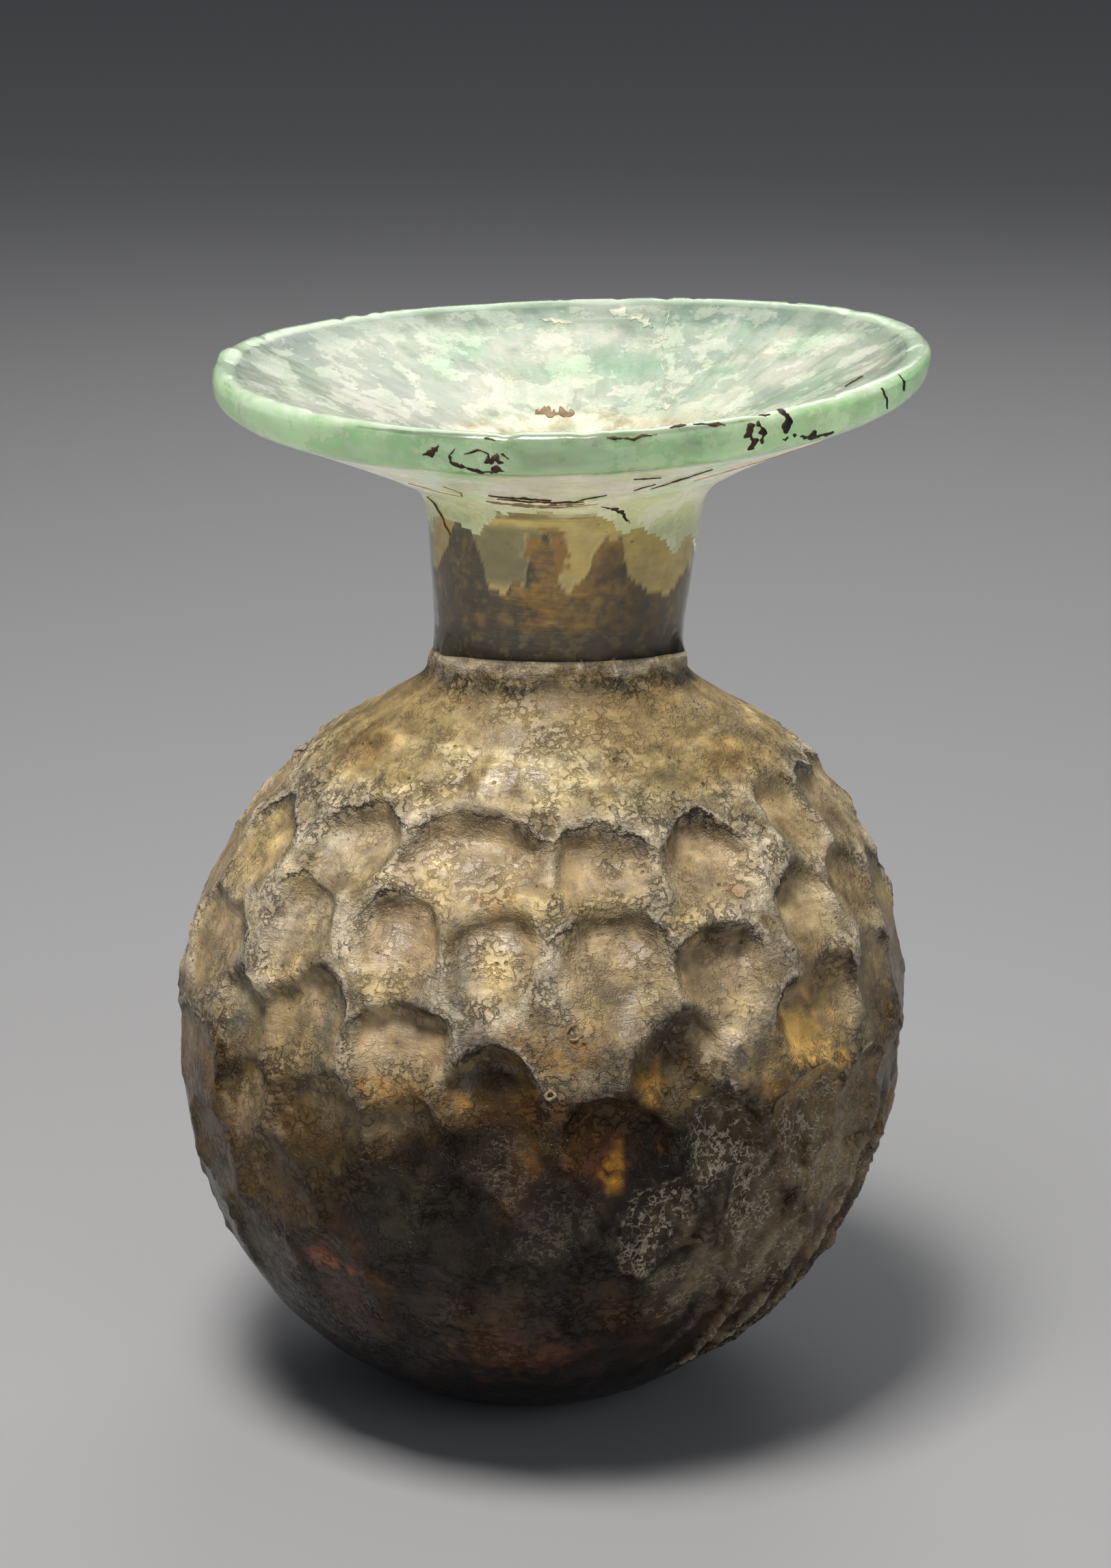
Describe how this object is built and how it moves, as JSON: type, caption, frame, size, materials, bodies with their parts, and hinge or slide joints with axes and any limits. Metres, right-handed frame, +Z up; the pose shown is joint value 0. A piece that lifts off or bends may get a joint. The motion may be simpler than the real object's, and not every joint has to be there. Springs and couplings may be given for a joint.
{
  "type": "glass bottle",
  "caption": "Globular hand-blown glass bottle, its wall pressed into rows of round hollows, with a short neck and a wide dished mouth with a thick lip.",
  "frame": {"origin": "middle of the flat foot, on the surface that the bottle stands on", "axes": "+Z up, towards the mouth; -Y is the better preserved front; the bottle leans slightly towards +X"},
  "size_m": [0.0812, 0.0812, 0.1178],
  "materials": {
    "weathered_glass": "pale green glass under a brown and olive weathering crust, semi-gloss"
  },
  "bodies": {
    "root": {"bottle": "weathered_glass"}
  },
  "joints": []
}
